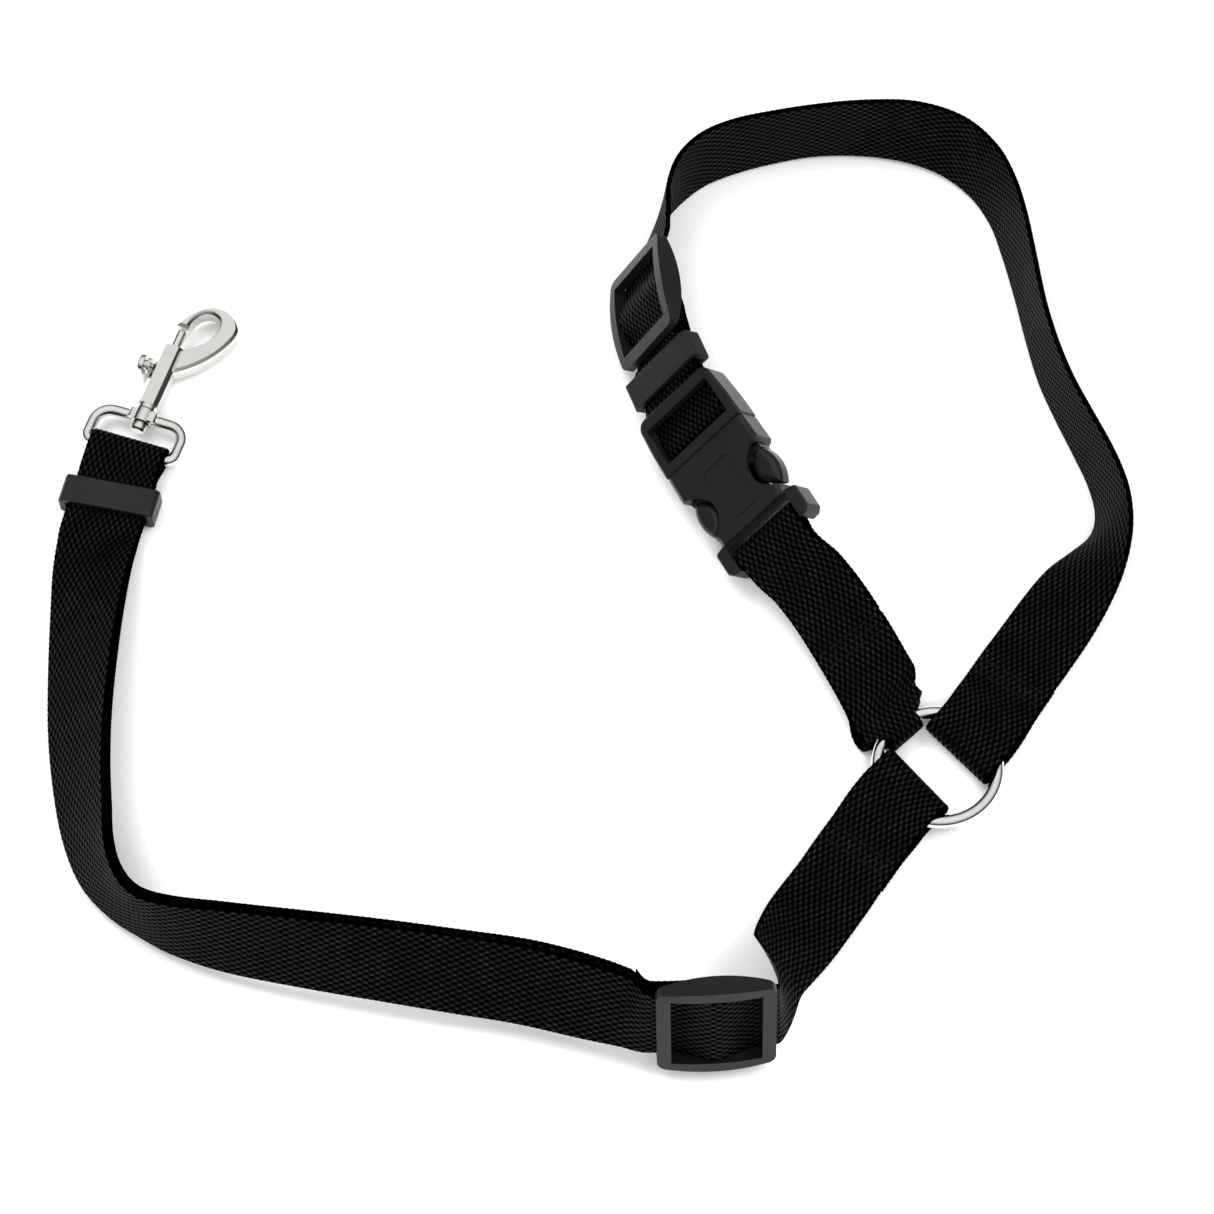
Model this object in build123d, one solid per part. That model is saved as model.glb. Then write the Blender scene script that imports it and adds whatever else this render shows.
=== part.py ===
"""An adjustable webbing loop with a side-release buckle, and a tether with a swivel bolt snap.

Both are sewn to one welded ring. Everything lies on a flat surface: the ring ends lie flat, and the
long stretches stand on one edge where they turn. The working frame has its origin on that surface,
under the centre of the ring; the finished parts are moved so that the origin is under the middle of
the whole object.
"""

from build123d import *
import math
import os

# Driving dimensions, in millimetres
STRAP_WIDTH = 25.0
STRAP_THICKNESS = 1.6
LAYER_GAP = 0.3
SOFT_GAP = 0.3
HARDWARE_SIDE_GAP = 0.5
SECTION_STEP = 7.0
FOLD_EASE = 9.0

RING_WIRE = 4.0
RING_BORE = 32.0
RING_FOLD_FLAT = 12.0
RING_SEWN_LENGTH = 32.0

SLIDER_LENGTH = 34.0
SLIDER_WALL = 2.5
SLIDER_END_BAR = 4.0
SLIDER_END_BAR_THICKNESS = 2.6
SLIDER_CENTRE_BAR = 2.8
SLIDER_WAVE = 4.2
SLIDER_ARCH = 1.8
SLIDER_BOW = 0.9
SLIDER_CORNER = 2.5
TETHER_TAIL = 24.0
LOOP_TAIL = 17.0

KEEPER_LENGTH = 9.5
KEEPER_WALL = 1.8
KEEPER_SIDE_GAP = 0.4
KEEPER_FACE_GAP = 0.35
KEEPER_TRAVEL = 6.0

BUCKLE_WIDTH = 33.0
BUCKLE_THICKNESS = 11.0
SOCKET_LENGTH = 30.0
SOCKET_FRAME_LENGTH = 9.0
SOCKET_BAR = 3.6
PLUG_LENGTH = 21.5
PLUG_BAR = 3.2
PLUG_BAR_PLACE = 8.0
SPLIT_GAP = 0.3
CAVITY_HEIGHT = 8.2
CAVITY_HALF_WIDTH = 13.9
WINDOW_X, WINDOW_Y = 19.6, -18.4
WINDOW_HALF_ACROSS, WINDOW_HALF_ALONG = 12.0, 9.2
ARM_THICKNESS = 5.8
ARM_PIVOT_X, ARM_PIVOT_Y = 9.6, 1.4
ARM_PIVOT_RADIUS = 1.6
PIVOT_CLEARANCE = 0.1
PAD_GAP = 0.85

EYE_WIRE = 3.8
EYE_HEIGHT = 13.5
HUB_LENGTH = 4.5
BARREL_WIDTH = 6.8
BARREL_LENGTH = 22.5
SPRING_ROOM = 9.6
BOLT_DIAMETER = 3.4
BOLT_TRAVEL = 6.0
HOOK_THICKNESS = 6.0
KNOB_DIAMETER = 6.6

THREAD_DIAMETER = 0.45
STITCH_LENGTH = 2.6
STITCH_GAP = 0.8
STITCH_ROWS = 3
STITCH_ROW_GAP = 2.5

HALF_WIDTH = STRAP_WIDTH / 2
HUB_MIDDLE = EYE_HEIGHT - 1.2
HUB_END = HUB_MIDDLE + HUB_LENGTH / 2
SWIVEL_STEM = 1.4
BODY_START = HUB_END + 0.3
BARREL_START = BODY_START + 1.5
BARREL_END = BARREL_START + BARREL_LENGTH
BORE_START = BARREL_START + 3.0
BOLT_START = BORE_START + SPRING_ROOM
BOLT_END = BARREL_END + 7.4
KNOB_Y = BOLT_START + 2.2
KNOB_INNER = 4.9
LAYER_OFFSET = (STRAP_THICKNESS + LAYER_GAP) / 2
WIRE_FOLD_RADIUS = RING_WIRE / 2 + SOFT_GAP + STRAP_THICKNESS / 2
EYE_FOLD_RADIUS = EYE_WIRE / 2 + SOFT_GAP + STRAP_THICKNESS / 2
PLUG_FOLD_RADIUS = PLUG_BAR / 2 + SOFT_GAP + STRAP_THICKNESS / 2
SOCKET_FOLD_RADIUS = SOCKET_BAR / 2 + SOFT_GAP + STRAP_THICKNESS / 2
SLIDER_FOLD_RADIUS = SLIDER_CENTRE_BAR / 2 + SOFT_GAP + STRAP_THICKNESS / 2
RING_HEIGHT = WIRE_FOLD_RADIUS + STRAP_THICKNESS / 2

# The slider's levels across its thickness, measured from the middle plane of the strap route
RUN_UNDER_END_BAR = LAYER_OFFSET
RUN_OVER_CENTRE = RUN_UNDER_END_BAR + SLIDER_WAVE
SECOND_OVER_CENTRE = RUN_OVER_CENTRE - 2 * LAYER_OFFSET
CENTRE_BAR_LEVEL = SECOND_OVER_CENTRE - SLIDER_FOLD_RADIUS
TAIL_LEVEL = CENTRE_BAR_LEVEL - SLIDER_FOLD_RADIUS
END_BAR_LEVEL = RUN_UNDER_END_BAR + STRAP_THICKNESS / 2 + LAYER_GAP

# The buckle: where the split between plug and socket is, which way it points, and how it leans
BUCKLE_X, BUCKLE_Y = -66.0, 103.5
BUCKLE_HEADING = 119.0
BUCKLE_ROLL = 39.0
BUCKLE_LIFT = 7.0
SOCKET_BAR_PLACE = SOCKET_LENGTH + SOCKET_FRAME_LENGTH - SOCKET_BAR


def along_buckle(distance):
    """The point of the buckle's axis at a distance from the split, positive on the plug's side."""
    angle = math.radians(BUCKLE_HEADING)
    return BUCKLE_X + distance * math.cos(angle), BUCKLE_Y + distance * math.sin(angle)


# Strap routes. Each station is x, y, heading, roll and lift. Heading is the direction of travel in
# degrees, roll raises the right-hand edge, and lift raises the strap off its lower edge.
LOOP_ROUTE = [
    (8.2, 6.4, 42, 0, WIRE_FOLD_RADIUS),
    (14, 13.5, 50, 0, WIRE_FOLD_RADIUS),
    (22, 26, 56, 0, 1.6),
    (30.5, 38.5, 57, 1, 1.0),
    (38.5, 50, 57, 5, 0.4),
    (46.5, 61.5, 59, 22, 0),
    (53, 71, 64, 48, 0),
    (56.5, 79, 76, 67, 0),
    (57, 88, 94, 77, 0),
    (54.5, 99, 108, 82, 0),
    (50, 111, 112, 84, 0),
    (45, 124, 110, 85, 0),
    (41, 137, 105, 84, 0),
    (38, 152, 99, 84, 0),
    (35.5, 170, 97, 82, 0),
    (33, 186, 100, 79, 0),
    (30, 199, 108, 77, 0),
    (24.5, 211, 122, 73, 0),
    (15, 221, 143, 70, 0),
    (2, 226.5, 165, 73, 0),
    (-14, 228, 177, 80, 0),
    (-30, 227, 184, 84, 0),
    (-45, 224, 192, 83, 0),
    (-57, 220.5, 200, 81, 0),
    (-67, 215.5, 211, 82, 0),
    (-74.5, 208, 228, 86, 0),
    (-79.5, 198.5, 248, 95, 0),
    (-82, 188, 260, 105, 1.4),
    (-83.5, 176, 266, 111, 3.4),
    (-84.3, 165, 272, 115, 5.0),
    (-83.9, 155.5, 277, 118, 5.8),
    (-82.6, 143.5, 282, 121, 6.5),
    (-79.8, 130.5, 291, 130, 6.9),
    (*along_buckle(PLUG_LENGTH), BUCKLE_HEADING + 180, 180 - BUCKLE_ROLL, BUCKLE_LIFT),
    (*along_buckle(PLUG_BAR_PLACE), BUCKLE_HEADING + 180, 180 - BUCKLE_ROLL, BUCKLE_LIFT),
]
LOOP_SLIDER_STATION = 30
LOOP_KEEPER_STATION = 32

BUCKLE_STRAP_ROUTE = [
    (-10.4, 12.4, 133, 0, WIRE_FOLD_RADIUS),
    (-12.9, 17.5, 127, 2, 3.1),
    (-17, 26, 122, 12, 2.9),
    (-24, 38.5, 120, 24, 3.8),
    (-34, 54, 119, 33, 5.6),
    (*along_buckle(-SOCKET_BAR_PLACE), BUCKLE_HEADING, BUCKLE_ROLL, BUCKLE_LIFT),
]

TETHER_ROUTE = [
    (-8, -6.7, 220, 0, WIRE_FOLD_RADIUS),
    (-13.5, -12.5, 228, 0, WIRE_FOLD_RADIUS),
    (-23, -25, 234, 0, 1.6),
    (-32, -38, 235, 2, 1.3),
    (-40, -50, 236, 12, 2.0),
    (-47, -62, 234, 34, 3.4),
    (-54.5, -74, 220, 56, 4.6),
    (-68, -84, 184, 70, 4.9),
    (-84.5, -83.5, 173, 62, 5.0),
    (-101, -79, 168, 53, 4.6),
    (-122, -73, 169, 47, 4.2),
    (-142, -69.5, 171, 47, 4.2),
    (-162, -66.5, 172, 51, 4.2),
    (-185, -63, 171, 57, 3.6),
    (-208, -59, 169, 65, 2.5),
    (-224, -55, 162, 76, 1.3),
    (-234, -50.5, 150, 82, 0.9),
    (-241, -44.5, 134, 76, 1.0),
    (-247, -35, 118, 64, 1.2),
    (-251, -22, 106, 53, 1.5),
    (-254, -6, 98, 46, 1.6),
    (-256, 12, 93, 39, 1.7),
    (-256.8, 32, 91, 32, 1.8),
    (-257, 52, 89, 23, 2.0),
    (-256.8, 68, 86, 11, 2.6),
    (-255.6, 80, 79, 2, 3.1),
    (-253.4, 91.5, 78, 0, 3.2),
    (-251, 102.5, 76, 0, 3.1),
    (-249, 110, 72, 0, EYE_FOLD_RADIUS),
]
TETHER_SLIDER_STATION = 7
TETHER_KEEPER_STATION = 26


class Frame:
    """A point on a strap's route, with the directions of travel, of its right edge, and of its face."""

    def __init__(self, point, travel, right, face):
        self.point, self.travel, self.right, self.face = point, travel, right, face

    def at(self, across=0.0, along=0.0, out=0.0):
        return self.point + self.right * across + self.travel * along + self.face * out

    def moved(self, along=0.0, out=0.0):
        return Frame(self.at(0, along, out), self.travel, self.right, self.face)

    def reversed(self):
        """The same place, seen by someone who travels the other way with the other face up."""
        return Frame(self.point, -self.travel, self.right, -self.face)

    def place(self, shape):
        """A shape built with x to the right, y along and z out of the face, put at this frame."""
        return Plane(origin=self.point, x_dir=self.right, z_dir=self.face).location * shape


class Route:
    """A smooth line through hand-chosen stations, read by its length from the first one.

    Each stiff span is a station, with the lengths before and after it that hardware keeps straight.
    """

    def __init__(self, stations, stiff_spans):
        self.stations = stations
        self.marks = [0.0]
        for a, b in zip(stations, stations[1:]):
            self.marks.append(self.marks[-1] + math.hypot(b[0] - a[0], b[1] - a[1]))
        self.length = self.marks[-1]
        self.slopes = [self._slope(i) for i in range(len(stations))]
        self.spans = [(self.marks[i], before, after, fade) for i, before, after, fade in stiff_spans]

    def _slope(self, i):
        a, b = max(i - 1, 0), min(i + 1, len(self.stations) - 1)
        span = self.marks[b] - self.marks[a]
        return [(q - p) / span for p, q in zip(self.stations[a], self.stations[b])]

    def edges(self):
        """The places where a stiff span starts or ends."""
        places = [m - before for m, before, _, _ in self.spans]
        places += [m + after for m, _, after, _ in self.spans]
        return [p for p in places if 0 < p < self.length]

    def smooth_values(self, s):
        i = 0
        while i < len(self.marks) - 2 and s > self.marks[i + 1]:
            i += 1
        span = self.marks[i + 1] - self.marks[i]
        t = min(max((s - self.marks[i]) / span, 0.0), 1.0)
        weights = (
            (1 + 2 * t) * (1 - t) ** 2,
            t * (1 - t) ** 2 * span,
            t * t * (3 - 2 * t),
            t * t * (t - 1) * span,
        )
        rows = (self.stations[i], self.slopes[i], self.stations[i + 1], self.slopes[i + 1])
        return [sum(w * r[k] for w, r in zip(weights, rows)) for k in range(5)]

    def values(self, s):
        result = self.smooth_values(s)
        for mark, before, after, fade in self.spans:
            outside = max(mark - before - s, s - mark - after, 0.0)
            if outside >= fade:
                continue
            straight = self.smooth_values(mark)
            heading = math.radians(straight[2])
            straight[0] += (s - mark) * math.cos(heading)
            straight[1] += (s - mark) * math.sin(heading)
            t = 1 - outside / fade
            weight = t * t * (3 - 2 * t)
            result = [v + (w - v) * weight for v, w in zip(result, straight)]
        return result

    def at(self, s):
        x, y, heading, roll, lift = self.values(s)
        heading, roll = math.radians(heading), math.radians(roll)
        z = HALF_WIDTH * abs(math.sin(roll)) + STRAP_THICKNESS / 2 * abs(math.cos(roll)) + lift
        travel = Vector(math.cos(heading), math.sin(heading), 0)
        level = Vector(math.sin(heading), -math.cos(heading), 0)
        right = level * math.cos(roll) + Vector(0, 0, 1) * math.sin(roll)
        return Frame(Vector(x, y, z), travel, right, right.cross(travel))


def smooth_steps(knots, s):
    """A value that eases between (place, value) knots."""
    if s <= knots[0][0]:
        return knots[0][1]
    for (a, u), (b, v) in zip(knots, knots[1:]):
        if s <= b:
            t = (s - a) / (b - a)
            return u + (v - u) * t * t * (3 - 2 * t)
    return knots[-1][1]


def layer(route, start, end, offsets, side=1, halves=None):
    """Sections of webbing along a route, held off its middle plane by offsets towards one side."""
    steps = max(2, math.ceil(abs(end - start) / SECTION_STEP))
    marks = [start + (end - start) * i / steps for i in range(1, steps)]
    for place in [*(knot[0] for knot in offsets), *route.edges()]:
        if min(start, end) + 1 < place < max(start, end) - 1:
            marks = [m for m in marks if abs(m - place) > SECTION_STEP / 5] + [place]
    sections = []
    for s in sorted({*marks, start, end}, reverse=end < start):
        frame = route.at(s)
        offset = side * smooth_steps(offsets, s)
        face = frame.face if end > start else -frame.face
        half = smooth_steps(halves, s) if halves else HALF_WIDTH
        sections.append((frame.at(out=offset), frame.right, face, half))
    return sections


def fold(frame, radius, towards, face_first, half=HALF_WIDTH, turns=6):
    """Sections of webbing that goes half way round a bar at frame, passing it in direction towards."""
    ahead = frame.travel * towards
    out = frame.face * face_first
    sections = []
    for i in range(1, turns):
        angle = math.pi * i / turns
        normal = out * math.cos(angle) + ahead * math.sin(angle)
        face = normal * face_first if towards > 0 else normal * -face_first
        sections.append((frame.point + normal * radius, frame.right, face, half))
    return sections


def webbing(sections):
    """One solid band through sections of a point, the direction across, the face and half a width."""
    rings = []
    for point, right, face, half in sections:
        a, b = right * half, face * (STRAP_THICKNESS / 2)
        rings.append([point + a + b, point + a - b, point - a - b, point - a + b])
    polygons = [rings[0], rings[-1]]
    for near, far in zip(rings, rings[1:]):
        for i in range(4):
            j = (i + 1) % 4
            corners = [near[i], near[j], far[j], far[i]]
            if i % 2:
                middle = (near[i] + near[j] + far[i] + far[j]) / 4
                polygons += [[corners[k - 1], corners[k], middle] for k in range(4)]
            else:
                polygons += [corners[:3], [corners[0], *corners[2:]]]
    return Solid(Shell([Face(Wire.make_polygon(points, close=True)) for points in polygons]))


def ring_end(route, halves=None):
    """The sewn end of a strap: from the cut end under the strap, round the ring and back on top."""
    spread = [
        (0, WIRE_FOLD_RADIUS),
        (RING_FOLD_FLAT, WIRE_FOLD_RADIUS),
        (RING_FOLD_FLAT + 10, LAYER_OFFSET),
    ]
    under = layer(route, RING_SEWN_LENGTH, 0, spread, -1, halves)
    half = halves[0][1] if halves else HALF_WIDTH
    return under + fold(route.at(0), WIRE_FOLD_RADIUS, -1, -1, half), spread


def adjuster_strap(route, slider, far_radius, hump, tail_length, side):
    """A strap that is sewn to the ring, runs through a slider to a far fold, and returns to the slider."""
    start, spread = ring_end(route)
    end = route.length
    before, after = slider - SLIDER_LENGTH / 2, slider + SLIDER_LENGTH / 2
    run_out = [
        *spread,
        (RING_SEWN_LENGTH, LAYER_OFFSET),
        (RING_SEWN_LENGTH + 8, 0),
    ]
    through = [
        (before - 8, 0),
        (before - 1, RUN_UNDER_END_BAR),
        (before + SLIDER_END_BAR + 0.5, RUN_UNDER_END_BAR),
        (slider, RUN_OVER_CENTRE),
        (after - SLIDER_END_BAR - 0.5, RUN_UNDER_END_BAR),
        (end - FOLD_EASE, LAYER_OFFSET),
        (end, far_radius),
    ]
    back = [
        (slider, SECOND_OVER_CENTRE),
        (after - SLIDER_END_BAR - 0.5, -LAYER_OFFSET),
        *hump,
        (end - FOLD_EASE, -LAYER_OFFSET),
        (end, -far_radius),
    ]
    tail = [
        (slider, TAIL_LEVEL),
        (slider + 9, -3 * LAYER_OFFSET),
        (slider + tail_length, -3 * LAYER_OFFSET - 0.8),
    ]
    sections = start + layer(route, 0, before - 9, run_out)
    sections += layer(route, before - 8, end, through, side)
    sections += fold(route.at(end), far_radius, 1, side)
    sections += layer(route, end, slider, back, side)
    bar = route.at(slider).moved(out=side * CENTRE_BAR_LEVEL)
    sections += fold(bar, SLIDER_FOLD_RADIUS, -1, side)
    sections += layer(route, slider, slider + tail_length, tail, side)
    return webbing(sections)


def short_strap(route):
    """The doubled strap between the ring and the buckle's socket, with its ends sewn under it."""
    halves = [(0, 6.1), (3.8, HALF_WIDTH)]
    start, spread = ring_end(route, halves)
    end = route.length
    top = [*spread, (end - FOLD_EASE, LAYER_OFFSET), (end, SOCKET_FOLD_RADIUS)]
    under = [(end - FOLD_EASE, -LAYER_OFFSET), (end, -SOCKET_FOLD_RADIUS)]
    sections = start + layer(route, 0, end, top, 1, halves)
    sections += fold(route.at(end), SOCKET_FOLD_RADIUS, 1, 1)
    sections += layer(route, end, RING_SEWN_LENGTH + 2, under)
    return webbing(sections)


def stitching(route, start):
    """Rows of lock stitches across a sewn end, lying on the webbing's upper face."""
    level = LAYER_OFFSET + STRAP_THICKNESS / 2 + THREAD_DIAMETER / 2 + 0.05
    pitch = STITCH_LENGTH + STITCH_GAP
    count = int((STRAP_WIDTH - 4) / pitch)
    threads = []
    for row in range(STITCH_ROWS):
        frame = route.at(start + row * STITCH_ROW_GAP).moved(out=level)
        for i in range(count):
            across = (i - (count - 1) / 2) * pitch
            bar = Pos(across, 0, 0) * Box(STITCH_LENGTH, THREAD_DIAMETER * 1.4, THREAD_DIAMETER)
            threads.append(frame.place(bar))
    return Compound([t.solid() for t in threads])


def ring():
    centre_radius = (RING_BORE + RING_WIRE) / 2
    return Pos(0, 0, RING_HEIGHT) * Torus(centre_radius, RING_WIRE / 2)


def slider_frame():
    """A ladder slider: two end bars in front, a round bar behind, and arched side walls."""
    inner = HALF_WIDTH + HARDWARE_SIDE_GAP
    outer = inner + SLIDER_WALL
    half = SLIDER_LENGTH / 2
    top = END_BAR_LEVEL + SLIDER_END_BAR_THICKNESS
    low = CENTRE_BAR_LEVEL - SLIDER_CENTRE_BAR / 2
    side = Plane.YZ * make_face(
        [
            ThreePointArc((-half, END_BAR_LEVEL), (0, low), (half, END_BAR_LEVEL)),
            Line((half, END_BAR_LEVEL), (half, top)),
            ThreePointArc((half, top), (0, top + SLIDER_ARCH), (-half, top)),
            Line((-half, top), (-half, END_BAR_LEVEL)),
        ]
    )
    plan = make_face(
        [
            ThreePointArc((outer, -half), (outer + SLIDER_BOW, 0), (outer, half)),
            Line((outer, half), (-outer, half)),
            ThreePointArc((-outer, half), (-outer - SLIDER_BOW, 0), (-outer, -half)),
            Line((-outer, -half), (outer, -half)),
        ]
    )
    block = extrude(side, 2 * outer, both=True) & extrude(plan, SLIDER_LENGTH, both=True)
    window = Box(2 * inner, SLIDER_LENGTH - 2 * SLIDER_END_BAR, 40)
    passage = Pos(0, 0, END_BAR_LEVEL - 10) * Box(2 * inner, SLIDER_LENGTH + 2, 20)
    frame = block - window - passage
    corners = [e for e in frame.edges().filter_by(Axis.Z) if abs(e.center().X) > inner + 1]
    frame = fillet(corners, SLIDER_CORNER)
    bar = Pos(0, 0, CENTRE_BAR_LEVEL) * Rot(0, 90, 0) * Cylinder(SLIDER_CENTRE_BAR / 2, 2 * inner + 1)
    return frame + bar


def keeper():
    """A moulded band that holds two layers of webbing together."""
    inner_x = STRAP_WIDTH + 2 * KEEPER_SIDE_GAP
    inner_z = 2 * STRAP_THICKNESS + LAYER_GAP + 2 * KEEPER_FACE_GAP
    outside = Box(inner_x + 2 * KEEPER_WALL + 1, KEEPER_LENGTH, inner_z + 2 * KEEPER_WALL)
    outside = chamfer(outside.edges().filter_by(Axis.Y), 1.0)
    return outside - Box(inner_x, KEEPER_LENGTH + 1, inner_z)


def rounded_plan(corners):
    """A flat outline of (x, y, radius) corners, mirrored in the buckle's long axis."""
    corners = corners + [(-x, y, radius) for x, y, radius in reversed(corners)]
    points = [(x, y) for x, y, _ in corners]
    return make_face(FilletPolyline(*points, radius=[r for _, _, r in corners], close=True))


def buckle_plug():
    """The plug: a frame with a hidden bar for the webbing, and a guide tongue for the socket."""
    half = BUCKLE_WIDTH / 2
    inner = HALF_WIDTH + HARDWARE_SIDE_GAP
    top, low = 5.2, -4.4
    plan = rounded_plan([(half, 0, 1.0), (half - 0.3, 9, 6), (half - 1.4, PLUG_LENGTH, 3.6)])
    block = extrude(plan, top - low).moved(Pos(0, 0, low))
    block = chamfer(block.faces().sort_by(Axis.Z)[-1].edges(), 0.7)
    wall, end_bar = 3.8, 4.2
    window_length = PLUG_LENGTH - end_bar - wall
    window = Pos(0, wall + window_length / 2, 0) * Box(2 * inner, window_length, 30)
    under = Pos(0, PLUG_LENGTH / 2 + wall, -10) * Box(2 * inner, PLUG_LENGTH, 2 * (10 + 2.2))
    bar = Pos(0, PLUG_BAR_PLACE, 0) * Rot(0, 90, 0) * Cylinder(PLUG_BAR / 2, 2 * inner + 1)
    tongue = Pos(0, -10.5, 0) * Box(6, 23, 4.4)
    tongue = chamfer(tongue.edges().group_by(Axis.Y)[0], 1.2)
    body = block - window - under + bar + tongue
    for side in (-1, 1):
        body -= arm_pocket(side)
    return body


def arm_pocket(side):
    """The room in the plug's front wall for the round root of a latch arm."""
    height = ARM_THICKNESS + 2 * PIVOT_CLEARANCE + 0.2
    socket = Cylinder(ARM_PIVOT_RADIUS + PIVOT_CLEARANCE, height)
    mouth = Pos(-side * 0.4, -2, 0) * Box(3.6, 4.2, height)
    return Pos(side * ARM_PIVOT_X, ARM_PIVOT_Y, 0) * (socket + mouth)


def latch_arm(side):
    """A springy arm with a round root, a locking shoulder and a push pad that shows at the side."""
    root = Pos(ARM_PIVOT_X, ARM_PIVOT_Y, 0) * Cylinder(ARM_PIVOT_RADIUS, ARM_THICKNESS)
    beam = Pos(ARM_PIVOT_X, -6.2, 0) * Box(2.4, 14.4, ARM_THICKNESS)
    window = Ellipse(WINDOW_HALF_ACROSS - PAD_GAP, WINDOW_HALF_ALONG - PAD_GAP)
    reach = Pos(3.4, WINDOW_Y) * Ellipse(13.1, 12.5)
    plan = (Pos(WINDOW_X, WINDOW_Y) * window) & reach
    pad = extrude(plan, CAVITY_HEIGHT / 2 - SOFT_GAP, both=True)
    pad = fillet(pad.faces().filter_by(Axis.Z).edges(), 2.4)
    shoulder = Pos(12.4, -11.4, 0) * Box(5.0, 1.8, ARM_THICKNESS)
    arm = root + beam + pad + shoulder
    return arm if side > 0 else mirror(arm, Plane.YZ)


def buckle_socket():
    """The socket: a hollow shell with side windows, and a flared frame with a bar for the webbing."""
    half = BUCKLE_WIDTH / 2
    thick = BUCKLE_THICKNESS / 2
    end = -SOCKET_LENGTH
    frame_end = end - SOCKET_FRAME_LENGTH
    inner = HALF_WIDTH + HARDWARE_SIDE_GAP
    plan = rounded_plan(
        [
            (half - 0.4, 4, 1.5),
            (half, -9.0, 8),
            (half - 0.5, -22, 3),
            (13.2, -27.6, 2.5),
            (13.2, end - 2, 1.5),
        ]
    )
    shell = extrude(plan, thick, both=True)
    shell = chamfer(shell.faces().filter_by(Axis.Z).edges(), 1.3)
    shell &= Pos(0, (end - SPLIT_GAP) / 2, 0) * Box(60, -end - SPLIT_GAP, 60)
    flare = rounded_plan(
        [
            (11.4, end + 2, 1.0),
            (half + 0.8, end + 0.4, 1.2),
            (half + 0.8, frame_end + 1.6, 1.0),
            (half - 0.8, frame_end, 1.0),
        ]
    )
    lugs = extrude(flare, 8.9).moved(Pos(0, 0, -5.3))
    lugs = chamfer(lugs.faces().filter_by(Axis.Z).edges(), 0.6)
    lugs -= Pos(0, end - 1 - SOCKET_FRAME_LENGTH / 2, 0) * Box(2 * inner, SOCKET_FRAME_LENGTH, 30)
    cavity = Pos(0, -10.5, 0) * Box(2 * CAVITY_HALF_WIDTH, 23, CAVITY_HEIGHT)
    cavity += Pos(0, -24, 0) * Box(22, 8.5, CAVITY_HEIGHT)
    cavity += Pos(0, -23.4, 0) * Box(25, 5.8, CAVITY_HEIGHT)
    bar = Pos(0, -SOCKET_BAR_PLACE, 0) * Rot(0, 90, 0) * Cylinder(SOCKET_BAR / 2, 2 * inner + 1)
    body = shell + lugs - cavity + bar
    for side in (-1, 1):
        window = Pos(side * WINDOW_X, WINDOW_Y) * Ellipse(WINDOW_HALF_ACROSS, WINDOW_HALF_ALONG)
        body -= extrude(window, 20, both=True)
    panel = RectangleRounded(11, 19, 1.8) - RectangleRounded(10.4, 18.4, 1.5)
    body -= extrude(Pos(0, -16.6, thick - 0.3) * panel, 1)
    return body


def snap_eye():
    """The eye that the webbing goes round, with a hub for the swivel."""
    reach = HALF_WIDTH + 0.4 + EYE_WIRE / 2
    points = [(-reach, 0), (reach, 0), (reach, HUB_MIDDLE), (-reach, HUB_MIDDLE)]
    path = FilletPolyline(*points, radius=[2.4, 2.4, 5.6, 5.6], close=True)
    section = Plane(origin=path @ 0, z_dir=path % 0) * Circle(EYE_WIRE / 2)
    wire = sweep(section, path=path)
    hub = Pos(0, HUB_MIDDLE, 0) * Rot(90, 0, 0) * Cylinder(3.3, HUB_LENGTH)
    cheeks = Pos(0, HUB_MIDDLE, 0) * Box(9.4, HUB_LENGTH - 1.2, 5.2)
    cheeks = fillet(cheeks.edges().filter_by(Axis.Y), 1.4)
    bore = Pos(0, HUB_MIDDLE, 0) * Rot(90, 0, 0) * Cylinder(SWIVEL_STEM + 0.1, HUB_LENGTH + 4)
    return wire + hub + cheeks - bore


def swivel_rivet():
    """The headed pin that holds the snap's body to the eye's hub and lets it turn."""
    head_start = HUB_MIDDLE - HUB_LENGTH / 2 - 0.3
    head = Pos(0, head_start - 1.3, 0) * Rot(90, 0, 0) * Cylinder(2.6, 2.6)
    head = fillet(head.edges().group_by(Axis.Y)[0], 1.1)
    length = BODY_START - head_start
    stem = Pos(0, head_start + length / 2, 0) * Rot(90, 0, 0) * Cylinder(SWIVEL_STEM, length)
    return head + stem


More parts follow.
